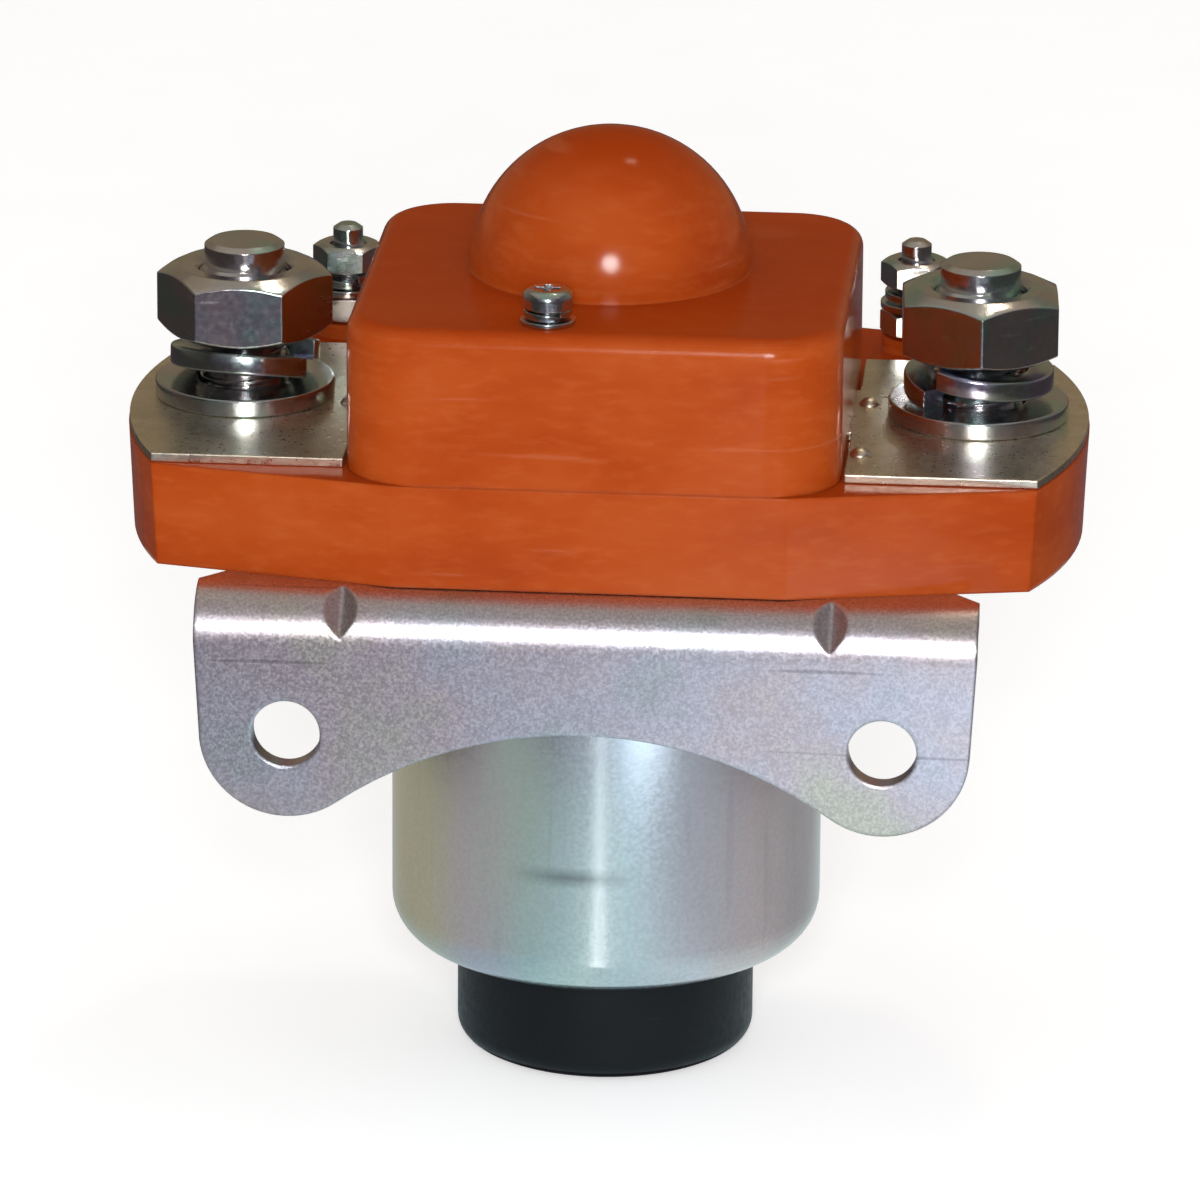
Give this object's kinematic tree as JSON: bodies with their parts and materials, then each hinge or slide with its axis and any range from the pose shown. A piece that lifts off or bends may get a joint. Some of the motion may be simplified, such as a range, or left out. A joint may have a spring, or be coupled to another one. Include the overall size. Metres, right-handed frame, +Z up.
{
  "type": "dc contactor solenoid",
  "caption": "Direct current contactor for a small electric vehicle: a plunger coil in a can on an angle bracket closes heavy contacts under a domed cover.",
  "frame": {"origin": "centre of the bottom cap's underside", "axes": "+Z up along the plunger's axis, -Y towards the bracket's mounting face, +X to the right stud seen from the bracket's side"},
  "size_m": [0.1064, 0.0705, 0.1059],
  "materials": {
    "phenolic_base": "moulded orange-brown phenolic, glossy",
    "phenolic_cover": "moulded orange-brown phenolic, glossy",
    "zinc_bracket": "zinc plated sheet, satin",
    "zinc_can": "zinc plated deep-drawn steel, iridescent",
    "hardware": "zinc plated steel, bright",
    "spring_washer": "zinc plated spring steel",
    "tinned_copper": "bright tin plate",
    "black_cap": "black moulded plastic, satin",
    "magnet_steel": "machined soft iron",
    "brass": "drawn brass",
    "nylon": "natural nylon",
    "winding": "enamelled copper wire",
    "lead": "insulated lead",
    "copper": "bare copper",
    "silver": "silver contact alloy",
    "spring_wire": "bright spring wire"
  },
  "bodies": {
    "root": {"terminal_base": "phenolic_base", "contact_cover": "phenolic_cover", "cover_screws": "hardware", "cover_spring_washers": "spring_washer", "cover_flat_washers": "hardware", "terminal_plate_left": "tinned_copper", "terminal_plate_right": "tinned_copper", "plate_rivets": "tinned_copper", "main_stud_left": "hardware", "main_stud_right": "hardware", "main_flat_washers": "hardware", "main_spring_washers": "spring_washer", "main_nuts": "hardware", "coil_stud_left": "hardware", "coil_stud_right": "hardware", "coil_lower_nuts": "hardware", "coil_flat_washers": "hardware", "coil_spring_washers": "spring_washer", "coil_upper_nuts": "hardware", "mounting_bracket": "zinc_bracket", "coil_can": "zinc_can", "bottom_cap": "black_cap", "frame_screws": "hardware", "yoke_plate": "magnet_steel", "guide_sleeve": "brass", "fixed_core": "magnet_steel", "core_nut": "hardware", "coil_bobbin": "nylon", "coil_winding": "winding", "coil_lead_left": "lead", "coil_lead_right": "lead", "shaft_bush": "brass", "fixed_contact_tips": "silver", "return_spring": "spring_wire"},
    "armature": {"plunger": "magnet_steel", "plunger_shaft": "magnet_steel", "spring_collar": "hardware", "spring_seat": "hardware", "shaft_nut": "hardware", "contact_spring": "spring_wire"},
    "bridge": {"contact_bridge": "copper", "bridge_contact_tips": "silver", "bridge_bush": "nylon", "bridge_washer": "nylon"}
  },
  "joints": [
    {"name": "armature_slide", "type": "slide", "parent": "root", "child": "armature", "axis": [0, 0, -1], "range_m": [0, 0.003], "stiffness_N_per_m": 800, "springref_m": -0.01, "deforming": ["return_spring"]},
    {"name": "bridge_slide", "type": "slide", "parent": "armature", "child": "bridge", "axis": [0, 0, 1], "range_m": [0, 0.001], "stiffness_N_per_m": 1000, "springref_m": -0.005, "deforming": ["contact_spring"]}
  ],
  "couplings": [
    {"joint": "bridge_slide", "follows": "armature_slide", "ratio": 0.33333}
  ]
}
